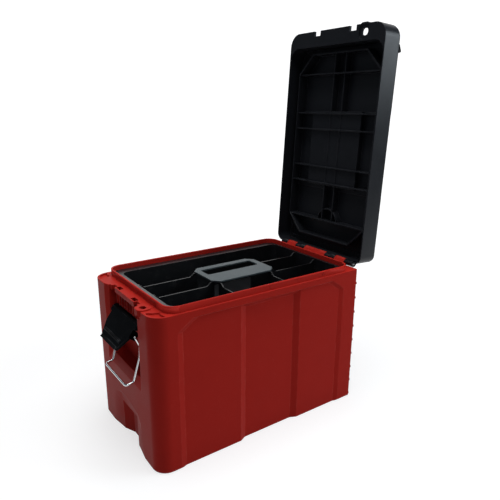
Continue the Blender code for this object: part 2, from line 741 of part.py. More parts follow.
for i in range(13):
    a = math.radians(180 + 15 * i)
    arc_outer.append((LID_ARC_RADIUS * math.cos(a), arc_y + LID_ARC_RADIUS * math.sin(a)))
    arc_inner.append(((LID_ARC_RADIUS - LID_RIB) * math.cos(a),
                      arc_y + (LID_ARC_RADIUS - LID_RIB) * math.sin(a)))
lid = join(lid, prism_z(arc_outer + arc_inner[::-1], LEDGE + LID_SPINE_EDGE + RUN_GAP, root))
lid = cut(lid, block(-HALF_W - BEYOND, HALF_W + BEYOND, LID_ZONE_FRONT, LID_ZONE_BACK, ZONE_TOP,
                     LID_TOP + BEYOND))
lid = cut(lid, block(-WELL_WIDTH / 2, WELL_WIDTH / 2, WELL_FRONT, WELL_BACK, well_floor,
                     LID_TOP + BEYOND))

# Front of the lid: open pocket over a flange, with the catch, the leg notches and the padlock hole
flange_top = LID_Z + LID_FLANGE
front_wall = groove_y0 - LID_WALL
pocket_x = HALF_W - LID_CHEEK
lid = cut(lid, block(-pocket_x, pocket_x, LID_FREE - BEYOND, front_wall, flange_top, LID_TOP + BEYOND))
catch_front = front_wall - CATCH_REACH
seat = LEDGE + CATCH_SEAT
catch = [(front_wall + LID_WALL / 2, LEDGE + CATCH_BASE), (front_wall + LID_WALL / 2, seat),
         (catch_front + CATCH_LIP, seat), (catch_front + CATCH_LIP, seat + CATCH_LIP_RISE),
         (catch_front, seat + CATCH_LIP_RISE), (catch_front, LEDGE + CATCH_BASE)]
lid = join(lid, prism_x(catch, -CATCH_WIDTH / 2, CATCH_WIDTH / 2))
flange_boss = rounded_rect(EYE_OFFSET - EYE_WIDTH / 2, EYE_OFFSET + EYE_WIDTH / 2, LID_FREE - LOOSE_GAP,
                           LID_FREE + EYE_WIDTH * 0.7, EYE_WIDTH * 0.3)
lid = join(lid, prism_z(flange_boss, LID_Z + RUN_GAP / 2, flange_top + RUN_GAP))
for side in (-1, 1):
    nx = side * NOTCH_OFFSET
    lid = cut(lid, block(nx - NOTCH_WIDTH / 2, nx + NOTCH_WIDTH / 2, LID_FREE - BEYOND,
                         LID_FREE + NOTCH_DEPTH, LID_Z - BEYOND, flange_top + RUN_GAP))
ring_room = rounded_rect(EYE_OFFSET - EYE_WIDTH / 2 - RUN_GAP, EYE_OFFSET + EYE_WIDTH / 2 + RUN_GAP,
                         eye_front - RUN_GAP, eye_back + RUN_GAP, EYE_WIDTH * 0.35)
lid = cut(lid, prism_z(ring_room, LID_Z - BEYOND, LEDGE + EYE_RISE + RUN_GAP))
lid_eye = rounded_rect(EYE_OFFSET - LID_EYE_WIDTH / 2, EYE_OFFSET + LID_EYE_WIDTH / 2,
                       eye_y - LID_EYE_DEPTH / 2, eye_y + LID_EYE_DEPTH / 2, LID_EYE_DEPTH * 0.45)
lid = cut(lid, prism_z(lid_eye, LID_Z - BEYOND, flange_top + BEYOND))

# Stacking lugs, knuckles and the brackets of the carry handle
lug_y = LUG_STACK_PLACE
ramp = [(lug_y - LUG_STACK_RAMP, LID_TOP - RUN_GAP), (lug_y, LID_TOP + LUG_STACK_HEIGHT),
        (lug_y + 0.002, LID_TOP + LUG_STACK_HEIGHT), (lug_y + 0.004, LID_TOP - RUN_GAP)]
lug_x1 = HALF_W - RUN_GAP
for x0 in (lug_x1 - LUG_STACK_WIDTH, -lug_x1):
    lid = join(lid, prism_x(ramp, x0, x0 + LUG_STACK_WIDTH))
arm_root = [(groove_y1 + LID_SKIRT / 3, LID_Z + RUN_GAP / 2), (groove_y1 + LID_SKIRT / 3,
                                                               LEDGE + 2.3 * HINGE_BARREL)]
knuckle = hull(barrel + arm_root)
for offset, width in ((KNUCKLE_INNER_OFFSET, KNUCKLE_INNER_WIDTH), (KNUCKLE_OUTER_OFFSET,
                                                                    KNUCKLE_OUTER_WIDTH)):
    for side in (-1, 1):
        lid = join(lid, prism_x(knuckle, side * offset - width / 2, side * offset + width / 2))
for centre, width in hinge_lugs:
    lid = cut(lid, block(centre - width / 2 - RUN_GAP, centre + width / 2 + RUN_GAP,
                         groove_y1 - LID_SKIRT, LID_BACK + BEYOND, LID_Z - BEYOND,
                         HINGE_Z + HINGE_BARREL + RUN_GAP))
lid = cut(lid, hinge_bore)

grip_pin_z = well_floor + LOOSE_GAP / 2 + GRIP_BARREL
leg_front = WELL_FRONT + LOOSE_GAP
leg_back = WELL_BACK - LOOSE_GAP
bracket_half = GRIP_BARREL
bracket_places = (leg_front + GRIP_LEG + RUN_GAP, leg_back - GRIP_LEG - RUN_GAP - GRIP_BRACKET)
for place in bracket_places:
    profile = hull(circle(0, grip_pin_z, bracket_half, 16) + [(-bracket_half, well_floor - RUN_GAP),
                                                              (bracket_half, well_floor - RUN_GAP)])
    lid = join(lid, prism_y(profile, place, place + GRIP_BRACKET))
pin_seat = LID_PANEL * 0.7
pin_runs = ((WELL_FRONT - pin_seat, bracket_places[0] + GRIP_BRACKET), (bracket_places[1],
                                                                        WELL_BACK + pin_seat))
for y0, y1 in pin_runs:
    lid = cut(lid, prism_y(circle(0, grip_pin_z, GRIP_PIN_RADIUS + FIT_GAP, 16), y0 - FIT_GAP,
                           y1 + FIT_GAP))
lid.transform(open_lid)
piece("lid_shell", lid, (0.010, 0.011, 0.013), 0.42, 0, (0, HINGE_Y, HINGE_Z))

# Carry handle, lying in its well, and its two pins
pin_origin = open_lid @ Vector((0, (WELL_FRONT + WELL_BACK) / 2, grip_pin_z))
for name, (y0, y1) in zip(("handle_pin_front", "handle_pin_back"), pin_runs):
    pin = prism_y(circle(0, grip_pin_z, GRIP_PIN_RADIUS, 16), y0, y1)
    pin.transform(open_lid)
    piece(name, pin, (0.45, 0.45, 0.47), 0.3, 1, open_lid @ Vector((0, (y0 + y1) / 2, grip_pin_z)))

grip_low = grip_pin_z - GRIP_THICKNESS / 2
grip_high = grip_pin_z + GRIP_THICKNESS / 2
leg_profile = hull(circle(0, grip_pin_z, GRIP_BARREL, 16) + [(GRIP_ARM, grip_low), (GRIP_ARM,
                                                                                    grip_high)])
bar_x0 = GRIP_ARM - GRIP_WIDTH / 2
bar_profile = [(bar_x0 + x, grip_low + z) for x, z in rounded_rect(0, GRIP_WIDTH, 0, GRIP_THICKNESS,
                                                                   GRIP_THICKNESS * 0.45, 4)]
handle = prism_y(bar_profile, leg_front, leg_back)
handle = join(handle, prism_y(leg_profile, leg_front + RUN_GAP, leg_front + GRIP_LEG),
              prism_y(leg_profile, leg_back - GRIP_LEG, leg_back - RUN_GAP))
handle = cut(handle, prism_y(circle(0, grip_pin_z, GRIP_PIN_RADIUS + FIT_GAP, 16), WELL_FRONT,
                             WELL_BACK))
handle.transform(open_lid)
piece("carry_handle", handle, (0.012, 0.013, 0.015), 0.5, 0, pin_origin)

# Tray: drafted bin with a flange on the rim's seat, and dividers that rise to the handle plate
tray_top = SEAT + FIT_GAP + TRAY_FLANGE
tray_low = tray_top - TRAY_DEPTH


def tray_outline(inset):
    """Outline of the tray's wall, moved in by inset."""
    x = RIM_X - RIM_THICKNESS - TRAY_FLANGE_SIDE - inset
    y0 = RIM_Y0 + RIM_THICKNESS + TRAY_FLANGE_FRONT + inset
    y1 = RIM_Y1 - RIM_THICKNESS - TRAY_FLANGE_BACK - inset
    return rounded_rect(-x, x, y0, y1, TRAY_RADIUS - inset)


flange_outline = rim_outline(RIM_THICKNESS + FIT_GAP)
tray = loft([[(x, y, tray_low) for x, y in tray_outline(TRAY_DRAFT)],
             [(x, y, tray_top - TRAY_FLANGE) for x, y in tray_outline(0)],
             [(x, y, tray_top - TRAY_FLANGE) for x, y in flange_outline],
             [(x, y, tray_top) for x, y in flange_outline]])
tray = cut(tray, loft([[(x, y, tray_low + TRAY_WALL) for x, y in tray_outline(TRAY_DRAFT + TRAY_WALL)],
                       [(x, y, tray_top + RUN_GAP) for x, y in tray_outline(TRAY_WALL)]]))

plate_x0 = PLATE_X - PLATE_WIDTH / 2
plate_x1 = PLATE_X + PLATE_WIDTH / 2
plate_y0 = PLATE_Y - PLATE_LENGTH / 2
plate_y1 = PLATE_Y + PLATE_LENGTH / 2
divider_top = tray_top - DIVIDER_DROP
plate_under = divider_top + DIVIDER_RISE + FIT_GAP
tray_x = RIM_X - RIM_THICKNESS - TRAY_FLANGE_SIDE - TRAY_WALL / 2 - TRAY_DRAFT / 2
tray_y0 = RIM_Y0 + RIM_THICKNESS + TRAY_FLANGE_FRONT + TRAY_WALL / 2 + TRAY_DRAFT / 2
tray_y1 = RIM_Y1 - RIM_THICKNESS - TRAY_FLANGE_BACK - TRAY_WALL / 2 - TRAY_DRAFT / 2


def divider(wall_place, plate_edge):
    """Divider profile from a tray wall to under the plate, its top rising in an S at both ends."""
    way = 1 if plate_edge > wall_place else -1
    start = plate_edge - way * DIVIDER_RAMP
    floor = tray_low + TRAY_WALL / 2
    points = [(wall_place, floor)]
    for i in range(7):
        t = i / 6
        points.append((wall_place + way * (LOOSE_GAP + DIVIDER_RAMP * t),
                       divider_top + DIVIDER_RISE * (1 - t * t * (3 - 2 * t))))
    points.insert(1, (wall_place, divider_top + DIVIDER_RISE))
    for i in range(7):
        t = i / 6
        points.append((start + way * DIVIDER_RAMP * t,
                       divider_top + DIVIDER_RISE * t * t * (3 - 2 * t)))
    points.append((plate_edge + way * DIVIDER_LAP, divider_top + DIVIDER_RISE))
    points.append((plate_edge + way * DIVIDER_LAP, floor))
    return points


half_divider = DIVIDER_THICKNESS / 2
for x in (plate_x0 + PLATE_CHAMFER, plate_x1 - PLATE_CHAMFER):
    for wall_place, edge in ((tray_y0, plate_y0), (tray_y1, plate_y1)):
        tray = join(tray, prism_x(divider(wall_place, edge), x - half_divider, x + half_divider))
for y in (plate_y0 + PLATE_CHAMFER, plate_y1 - PLATE_CHAMFER):
    tray = join(tray, prism_y(divider(tray_x, plate_x1), y - half_divider, y + half_divider))
piece("tray", tray, (0.010, 0.011, 0.012), 0.45, 0, (0, 0, tray_top))

plate = prism_z(chamfered_rect(plate_x0, plate_x1, plate_y0, plate_y1, PLATE_CHAMFER), plate_under,
                plate_under + PLATE_THICKNESS)
slot_x0 = plate_x0 + SLOT_EDGE
slot = rounded_rect(slot_x0, slot_x0 + SLOT_WIDTH, PLATE_Y - SLOT_LENGTH / 2, PLATE_Y + SLOT_LENGTH / 2,
                    SLOT_CORNER, 4)
plate = cut(plate, prism_z(slot, plate_under - BEYOND, plate_under + BEYOND))
piece("tray_handle", plate, (0.10, 0.12, 0.13), 0.5, 0, (PLATE_X, PLATE_Y, plate_under))

# Latch lever, drawn shut and swung out to where the photograph has it
swing = (Matrix.Translation((0, PIVOT_Y, PIVOT_Z)) @ Matrix.Rotation(-LEVER_TILT, 4, "X")
         @ Matrix.Translation((0, -PIVOT_Y, -PIVOT_Z)))
top = LEVER_TOP_WIDTH / 2
waist = LEVER_WAIST / 2
tip = LEVER_TIP_WIDTH / 2
half_plate = [(top, 0), (top, LEVER_SHOULDER - 0.002), (waist, LEVER_SHOULDER), (waist,
                                                                                 LEVER_TAPER_FROM),
              (tip + 0.002, LEVER_LENGTH - 0.004), (tip, LEVER_LENGTH)]
outline = half_plate + [(-x, s) for x, s in reversed(half_plate)]
face_out = PIVOT_Y - LEVER_PLATE_OUT
face_in = PIVOT_Y - LEVER_PLATE_IN
lever = prism_y([(x, PIVOT_Z - s) for x, s in outline], face_out, face_in)
lever = join(lever, prism_x(circle(PIVOT_Y, PIVOT_Z, LEVER_BARREL), -top, top))
ridge_s = LEVER_LENGTH * 0.72
ridge = [(face_out + 0.001, PIVOT_Z - ridge_s + 0.0035), (face_out - 0.002, PIVOT_Z - ridge_s + 0.001),
         (face_out - 0.002, PIVOT_Z - ridge_s - 0.001), (face_out + 0.001, PIVOT_Z - ridge_s - 0.0035)]
lever = join(lever, prism_x(ridge, -tip, tip))
hook = [(face_out - 0.0025, PIVOT_Z - LEVER_LENGTH), (face_out + 0.001, PIVOT_Z - LEVER_LENGTH + 0.007),
        (face_in - 0.001, PIVOT_Z - LEVER_LENGTH + 0.007), (face_in - 0.001, PIVOT_Z - LEVER_LENGTH)]
lever = join(lever, prism_x(hook, -tip + RUN_GAP, tip - RUN_GAP))
bail_y = PIVOT_Y + BAIL_SET
bail_z = PIVOT_Z - BAIL_ARM
cheek = [(face_in - 0.001, PIVOT_Z - LEVER_SHOULDER), (face_in - 0.001, PIVOT_Z - LEVER_TAPER_FROM),
         (bail_y + 2.6 * BAIL_WIRE, PIVOT_Z - LEVER_TAPER_FROM), (bail_y + 2.6 * BAIL_WIRE,
                                                                  PIVOT_Z - LEVER_SHOULDER - 0.002)]
lever = join(lever, *mirrored(prism_x, cheek, waist - LEVER_CHEEK, waist))
lever = cut(lever, prism_x(circle(bail_y, bail_z, BAIL_WIRE + FIT_GAP, 16), -top, top))
lever = cut(lever, prism_x(circle(PIVOT_Y, PIVOT_Z, LEVER_PIN_RADIUS + FIT_GAP, 16), -top - BEYOND,
                           top + BEYOND))
lever.transform(swing)
piece("latch_lever", lever, (0.010, 0.010, 0.011), 0.4, 0, (0, PIVOT_Y, PIVOT_Z))

latch_pin = prism_x(circle(PIVOT_Y, PIVOT_Z, LEVER_PIN_RADIUS, 16), -pin_half, pin_half)
piece("latch_pin", latch_pin, (0.45, 0.45, 0.47), 0.3, 1, (0, PIVOT_Y, PIVOT_Z))

# Wire bail: its ends turn in the lever's cheeks, its legs bend out over the sill to the bar
hang = swing @ Vector((0, bail_y, bail_z))
leg_x = waist + RUN_GAP + BAIL_WIRE
drop = hang.z - BAIL_LENGTH
leg = [(leg_x, hang.y, hang.z), (leg_x, hang.y + BAIL_BOW, hang.z - BAIL_LENGTH * 0.19),
       (leg_x - BAIL_TAPER * 0.3, hang.y + BAIL_BOW, hang.z - BAIL_LENGTH * 0.43),
       (leg_x - BAIL_TAPER * 0.9, hang.y - BAIL_REACH * 0.29, drop + BAIL_LENGTH * 0.032),
       (leg_x - BAIL_TAPER, hang.y - BAIL_REACH, drop)]
right = [(waist - LEVER_CHEEK, hang.y, hang.z)] + leg
left = [(-x, y, z) for x, y, z in reversed(right)]
bail = tube(rounded_path(right + left, BAIL_BEND), BAIL_WIRE)
piece("latch_bail", bail, (0.55, 0.55, 0.56), 0.18, 1, (0, hang.y, hang.z))
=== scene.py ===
"""Looks of a tall moulded tool box, standing open with its tray in, in a plain white studio."""
import math

import bmesh
import bpy
from mathutils import Matrix, Vector
from mathutils.bvhtree import BVHTree
from mathutils.kdtree import KDTree


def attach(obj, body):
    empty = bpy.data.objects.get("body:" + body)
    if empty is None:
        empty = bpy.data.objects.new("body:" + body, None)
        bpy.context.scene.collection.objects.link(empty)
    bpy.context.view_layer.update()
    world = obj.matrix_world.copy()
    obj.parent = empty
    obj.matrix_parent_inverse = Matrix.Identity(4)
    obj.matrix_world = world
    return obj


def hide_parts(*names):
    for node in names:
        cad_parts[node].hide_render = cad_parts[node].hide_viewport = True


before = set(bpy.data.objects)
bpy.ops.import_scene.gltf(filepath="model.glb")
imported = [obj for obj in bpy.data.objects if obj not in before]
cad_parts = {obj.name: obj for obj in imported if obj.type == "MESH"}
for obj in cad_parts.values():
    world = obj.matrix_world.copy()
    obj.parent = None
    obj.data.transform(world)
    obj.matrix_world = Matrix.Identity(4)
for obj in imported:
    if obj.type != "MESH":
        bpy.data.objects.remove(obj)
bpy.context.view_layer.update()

# Box body
# The tub is one injection moulding in red polypropylene: walls, panels, ledge, rim, latch
# recess and hinge lugs in one shot. Its edges leave the mould with a small radius, its faces
# carry a fine spark grain, and handling rubs the edges paler.
BODY_EDGE = 0.0008
BODY_SHARP_FROM = 13
EDGE_SEGMENTS = 2
BODY_RED = (0.430, 0.0205, 0.0140)
BODY_RED_DEEP = (0.382, 0.0176, 0.0120)
BODY_RUBBED = (0.540, 0.062, 0.048)
# A merged corner, a flat face in degrees, and the cosine under which two edges run on as one
WELD_DISTANCE = 0.00002
FLAT_WITHIN = 0.5
RUNS_ON = -0.8
# A line whose radius cuts is halved, turn by turn, and left sharp from the least share down;
# the reach round a cut is in edge widths and grows with each turn
EASING_TURNS = 14
LEAST_SHARE = 0.3
CUT_REACH = 2
CUT_REACH_GROWTH = 0.5
# Thin streaks in the worn patches, and how far clouds, scuffs and grain change the surface
STREAK_THINNESS = 14.0
SCUFFED_FROM = 0.56
UNEVEN_GLOSS = 0.16
SCUFF_DULLING = 0.25
GRAIN_DEPTH = 0.0002


def lines_of(bm, sharp):
    """Number of the line that each sharp edge is in; edges that run on into each other share one."""
    line = {edge: i for i, edge in enumerate(sharp)}
    for vertex in bm.verts:
        ends = [edge for edge in vertex.link_edges if edge in line]
        for i, one in enumerate(ends):
            for other in ends[i + 1:]:
                ways = [(edge.other_vert(vertex).co - vertex.co).normalized() for edge in (one, other)]
                if ways[0].dot(ways[1]) < RUNS_ON and line[one] != line[other]:
                    kept, lost = line[one], line[other]
                    line.update({edge: kept for edge, number in line.items() if number == lost})
    return line


def cuts(mesh):
    """Middle of the smaller of each two triangles that cut each other and share no corner."""
    mesh.calc_loop_triangles()
    triangles = mesh.loop_triangles
    corners = [tuple(triangle.vertices) for triangle in triangles]
    tree = BVHTree.FromPolygons([vertex.co for vertex in mesh.vertices], corners)
    spots = []
    for a, b in tree.overlap(tree):
        if a < b and not set(corners[a]) & set(corners[b]):
            smaller = min(triangles[a], triangles[b], key=lambda triangle: triangle.area)
            spots.append(smaller.center.copy())
    return spots


def lines_near(spots, line, reach, step):
    """Numbers of the lines that pass within reach of a spot, looked at in steps along each edge."""
    near = KDTree(len(spots))
    for i, spot in enumerate(spots):
        near.insert(spot, i)
    near.balance()
    numbers = set()
    for edge, number in line.items():
        start, end = (vertex.co for vertex in edge.verts)
        steps = 1 + int((end - start).length / step)
        if any(near.find(start.lerp(end, i / steps))[2] < reach for i in range(steps + 1)):
            numbers.add(number)
    return numbers


def welded(node):
    """Editable copy of a solid with its loose triangles merged and its flat faces made whole."""
    bm = bmesh.new()
    bm.from_mesh(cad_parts[node].data)
    bmesh.ops.remove_doubles(bm, verts=bm.verts, dist=WELD_DISTANCE)
    bmesh.ops.dissolve_limit(bm, angle_limit=math.radians(FLAT_WITHIN), verts=bm.verts, edges=bm.edges)
    bmesh.ops.recalc_face_normals(bm, faces=bm.faces)
    for face in bm.faces:
        face.smooth = True
    return bm


def mark_edges(mesh):
    """Turns the rounded edges' own material slot into the corner attribute edge, for the wear and the
    painted edge highlight.
    """
    mask = mesh.attributes.new("edge", "FLOAT", "CORNER")
    for polygon in mesh.polygons:
        worn_and_highlit = float(polygon.material_index == 1)
        for corner in polygon.loop_indices:
            mask.data[corner].value = worn_and_highlit
        polygon.material_index = 0
    mesh.materials.clear()


def moulded(node, piece, edge, sharp_from=24):
    """Copy of a solid with its edges rounded as a mould leaves them, from an angle in degrees up.
    A line of edges is rounded less, or left sharp, where its radius would cut into another face."""
    bm = welded(node)
    share = bm.edges.layers.float.new("bevel_weight_edge")
    line = lines_of(bm, [rib for rib in bm.edges if rib.calc_face_angle(0.0) > math.radians(sharp_from)])
    radius = dict.fromkeys(line.values(), 1.0)
    plain = bpy.data.meshes.new(piece)
    flat = bpy.data.materials.new("flat")
    plain.materials.append(flat)
    plain.materials.append(flat)
    obj = bpy.data.objects.new(piece, plain)
    bpy.context.scene.collection.objects.link(obj)
    bevel = obj.modifiers.new("mould radius", "BEVEL")
    bevel.width = edge
    bevel.segments = EDGE_SEGMENTS
    bevel.limit_method = "WEIGHT"
    bevel.use_clamp_overlap = False
    bevel.harden_normals = True
    bevel.material = 1
    even = obj.modifiers.new("flat faces", "WEIGHTED_NORMAL")
    even.keep_sharp = True
    for turn in range(EASING_TURNS):
        for rib, number in line.items():
            rib[share] = radius[number]
        bm.to_mesh(plain)
        graph = bpy.context.evaluated_depsgraph_get()
        mesh = bpy.data.meshes.new_from_object(obj.evaluated_get(graph))
        spots = cuts(mesh)
        if not spots:
            break
        for number in lines_near(spots, line, edge * (CUT_REACH + CUT_REACH_GROWTH * turn), edge):
            radius[number] = radius[number] / 2 if radius[number] > LEAST_SHARE else 0.0
    bm.free()
    obj.modifiers.clear()
    obj.data = mesh
    mesh.name = piece
    mark_edges(mesh)
    bpy.data.materials.remove(flat)
    return obj


def new_group(name, inputs, outputs):
    """Empty shader group with named number inputs and outputs."""
    group = bpy.data.node_groups.new(name, "ShaderNodeTree")
    for label, value in inputs:
        socket = group.interface.new_socket(label, in_out="INPUT", socket_type="NodeSocketFloat")
        socket.default_value = value
    for label in outputs:
        group.interface.new_socket(label, in_out="OUTPUT", socket_type="NodeSocketFloat")
    return group, group.nodes.new("NodeGroupInput"), group.nodes.new("NodeGroupOutput")


def math_node(tree, operation, first, second):
    """Math node fed by sockets or numbers; returns its output."""
    node = tree.nodes.new("ShaderNodeMath")
    node.operation = operation
    for slot, value in zip(node.inputs, (first, second)):
        if isinstance(value, (int, float)):
            slot.default_value = value
        else:
            tree.links.new(value, slot)
    return node.outputs[0]


def noise_node(tree, scale, detail, roughness):
    """Noise on the piece's own coordinates, at the scale that a socket gives."""
    place = tree.nodes.new("ShaderNodeTexCoord")
    node = tree.nodes.new("ShaderNodeTexNoise")
    node.inputs["Detail"].default_value = detail
    node.inputs["Roughness"].default_value = roughness
    tree.links.new(place.outputs["Object"], node.inputs["Vector"])
    tree.links.new(scale, node.inputs["Scale"])
    return node.outputs["Fac"]


grain, ends, out = new_group("Mould grain", (("Grain Scale", 1400.0), ("Cloud Scale", 22.0)),
                             ("Height", "Cloud"))
fine = noise_node(grain, ends.outputs["Grain Scale"], detail=3.0, roughness=0.6)
broad = noise_node(grain, ends.outputs["Cloud Scale"], detail=4.0, roughness=0.55)
grain.links.new(fine, out.inputs["Height"])
grain.links.new(broad, out.inputs["Cloud"])

# Paler rounded edges: wear on most parts, and on the tray a painted highlight for the light its top edges
# catch
wear_and_highlight, ends, out = new_group("Handling wear and edge highlight",
                            (("Edge", 0.0), ("Rub Scale", 60.0), ("Rub And Highlight", 0.5), ("Scuff", 0.5)),
                            ("Rubbed And Highlit", "Scuffed"))
patches = noise_node(wear_and_highlight, ends.outputs["Rub Scale"], detail=5.0, roughness=0.65)
spread = wear_and_highlight.nodes.new("ShaderNodeMapRange")
spread.inputs["From Min"].default_value = 0.38
spread.inputs["From Max"].default_value = 0.66
wear_and_highlight.links.new(patches, spread.inputs["Value"])
on_edge = math_node(wear_and_highlight, "MULTIPLY", ends.outputs["Edge"], spread.outputs["Result"])
wear_and_highlight.links.new(math_node(wear_and_highlight, "MULTIPLY", on_edge, ends.outputs["Rub And Highlight"]), out.inputs["Rubbed And Highlit"])
streak = wear_and_highlight.nodes.new("ShaderNodeTexWave")
streak.inputs["Scale"].default_value = 90.0
streak.inputs["Distortion"].default_value = 14.0
streak.inputs["Detail"].default_value = 4.0
streak.inputs["Detail Scale"].default_value = 1.6
own_place = wear_and_highlight.nodes.new("ShaderNodeTexCoord")
wear_and_highlight.links.new(own_place.outputs["Object"], streak.inputs["Vector"])
thin = math_node(wear_and_highlight, "POWER", streak.outputs["Fac"], STREAK_THINNESS)
area = math_node(wear_and_highlight, "GREATER_THAN", patches, SCUFFED_FROM)
marks = math_node(wear_and_highlight, "MULTIPLY", thin, area)
wear_and_highlight.links.new(math_node(wear_and_highlight, "MULTIPLY", marks, ends.outputs["Scuff"]), out.inputs["Scuffed"])


def mix_colour(tree, share, first, second):
    """Colour mix by a mask; each colour is a tuple or a socket."""
    node = tree.nodes.new("ShaderNodeMix")
    node.data_type = "RGBA"
    tree.links.new(share, node.inputs["Factor"])
    for label, colour in (("A", first), ("B", second)):
        slot = [s for s in node.inputs if s.name == label and s.type == "RGBA"][0]
        if isinstance(colour, tuple):
            slot.default_value = (*colour, 1)
        else:
            tree.links.new(colour, slot)
    return [s for s in node.outputs if s.type == "RGBA"][0]


def moulded_plastic(name, colour, deep, rubbed_and_highlight, roughness, specular, grain_scale, bump, rub_and_highlight, scuff):
    """Grained plastic: clouded colour, paler edges, which are wear on most parts and a painted highlight
    on the tray, and fine scuffs that dull the gloss.
    """
    material = bpy.data.materials.new(name)
    material.use_nodes = True
    tree = material.node_tree
    shader = tree.nodes["Principled BSDF"]
    shader.inputs["Specular IOR Level"].default_value = specular
    surface = tree.nodes.new("ShaderNodeGroup")
    surface.node_tree = grain
    surface.inputs["Grain Scale"].default_value = grain_scale
    handled_and_highlit = tree.nodes.new("ShaderNodeGroup")
    handled_and_highlit.node_tree = wear_and_highlight
    handled_and_highlit.inputs["Rub And Highlight"].default_value = rub_and_highlight
    handled_and_highlit.inputs["Scuff"].default_value = scuff
    edge = tree.nodes.new("ShaderNodeAttribute")
    edge.attribute_name = "edge"
    tree.links.new(edge.outputs["Fac"], handled_and_highlit.inputs["Edge"])
    clouded = mix_colour(tree, surface.outputs["Cloud"], deep, colour)
    worn_and_highlit = mix_colour(tree, handled_and_highlit.outputs["Rubbed And Highlit"], clouded, rubbed_and_highlight)
    scuffed = mix_colour(tree, handled_and_highlit.outputs["Scuffed"], worn_and_highlit, rubbed_and_highlight)
    tree.links.new(scuffed, shader.inputs["Base Color"])
    uneven = math_node(tree, "MULTIPLY", surface.outputs["Cloud"], UNEVEN_GLOSS)
    dull = math_node(tree, "MULTIPLY", handled_and_highlit.outputs["Scuffed"], SCUFF_DULLING)
    about = math_node(tree, "ADD", uneven, roughness - UNEVEN_GLOSS / 2)
    tree.links.new(math_node(tree, "ADD", about, dull), shader.inputs["Roughness"])
    relief = tree.nodes.new("ShaderNodeBump")
    relief.inputs["Strength"].default_value = bump
    relief.inputs["Distance"].default_value = GRAIN_DEPTH
    tree.links.new(surface.outputs["Height"], relief.inputs["Height"])
    tree.links.new(relief.outputs["Normal"], shader.inputs["Normal"])
    return material


body = moulded("body_shell", "box_body", BODY_EDGE, BODY_SHARP_FROM)
body.data.materials.append(moulded_plastic(
    "red_moulding", BODY_RED, BODY_RED_DEEP, BODY_RUBBED,
    roughness=0.42, specular=0.03, grain_scale=1500.0, bump=0.22, rub_and_highlight=0.45, scuff=0.12))
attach(body, "base")
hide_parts("body_shell")

# Hinge, latch and handle pins
# Drawn steel rods pressed through the lugs and cheeks and cropped flush. The bare metal is
# finely mottled, and a thin film of oil clouds its shine.
PIN_STEEL = (0.24, 0.24, 0.25)
PIN_STEEL_DARK = (0.14, 0.14, 0.145)


def bare_metal(name, bright, dark, grain_scale, cloud_scale, dulled_by, dulling, roughness):
    """Clouded metal whose roughness goes up with one output of the grain, Height or Cloud."""
    material = bpy.data.materials.new(name)
    material.use_nodes = True
    tree = material.node_tree
    shader = tree.nodes["Principled BSDF"]
    shader.inputs["Metallic"].default_value = 1.0
    surface = tree.nodes.new("ShaderNodeGroup")
    surface.node_tree = grain
    surface.inputs["Grain Scale"].default_value = grain_scale
    surface.inputs["Cloud Scale"].default_value = cloud_scale
    clouded = mix_colour(tree, surface.outputs["Cloud"], dark, bright)
    tree.links.new(clouded, shader.inputs["Base Color"])
    dull = math_node(tree, "MULTIPLY", surface.outputs[dulled_by], dulling)
    tree.links.new(math_node(tree, "ADD", dull, roughness), shader.inputs["Roughness"])
    return material


pin_steel = bare_metal("drawn_steel", PIN_STEEL, PIN_STEEL_DARK, grain_scale=2600.0,
                       cloud_scale=120.0, dulled_by="Height", dulling=0.2, roughness=0.24)
for name in ("hinge_pin", "latch_pin", "handle_pin_front", "handle_pin_back"):
    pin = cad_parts[name]
    pin.data.materials.clear()
    pin.data.materials.append(pin_steel)

# Lid
# One black polypropylene moulding, stiffened inside by a wall, cross ribs and a double spine.
# The outer skin is grained with a slight sheen; the inside has less gloss and a paler base colour, which
# is painted fill light where the lamps reach little. What faces another wall or the box when shut gets
# that inside material.
LID_EDGE = 0.0006
LID_BLACK = (0.0048, 0.0058, 0.0090)
LID_BLACK_DEEP = (0.0034, 0.0042, 0.0066)
LID_RUBBED = (0.050, 0.052, 0.058)
# Paler inside colours: painted fill light on the faces inside the lid
LID_INSIDE_PAINTED_FILL = (0.0138, 0.0148, 0.0180)
LID_INSIDE_PAINTED_FILL_DEEP = (0.0108, 0.0116, 0.0142)
LID_CLEAR = 0.0001
LID_FACES_BOX = -0.6
lid = moulded("lid_shell", "lid_moulding", LID_EDGE)
lid.data.materials.append(moulded_plastic(
    "black_lid", LID_BLACK, LID_BLACK_DEEP, LID_RUBBED,
    roughness=0.37, specular=0.23, grain_scale=1500.0, bump=0.18, rub_and_highlight=0.35, scuff=0.10))
lid.data.materials.append(moulded_plastic(
    "black_lid_inside", LID_INSIDE_PAINTED_FILL, LID_INSIDE_PAINTED_FILL_DEEP, LID_RUBBED,
    roughness=0.40, specular=0.07, grain_scale=900.0, bump=0.12, rub_and_highlight=0.45, scuff=0.10))
walls = BVHTree.FromPolygons([vertex.co for vertex in lid.data.vertices],
                             [polygon.vertices for polygon in lid.data.polygons])
for polygon in lid.data.polygons:
    faced = walls.ray_cast(polygon.center + polygon.normal * LID_CLEAR, polygon.normal)[0]
    polygon.material_index = int(faced is not None or polygon.normal.y < LID_FACES_BOX)
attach(lid, "lid")
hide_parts("lid_shell")

# Carry handle
# A black moulded bail handle that folds flat into the well on the lid and turns on two short
# pins. It is grained more coarsely than the lid, for the hand.
GRIP_EDGE = 0.0008
grip = moulded("carry_handle", "carry_grip", GRIP_EDGE)
grip.data.materials.append(moulded_plastic(
    "black_grip", LID_BLACK, LID_BLACK_DEEP, LID_RUBBED,
    roughness=0.50, specular=0.30, grain_scale=1100.0, bump=0.30, rub_and_highlight=0.5, scuff=0.15))
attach(grip, "handle")
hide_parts("carry_handle")

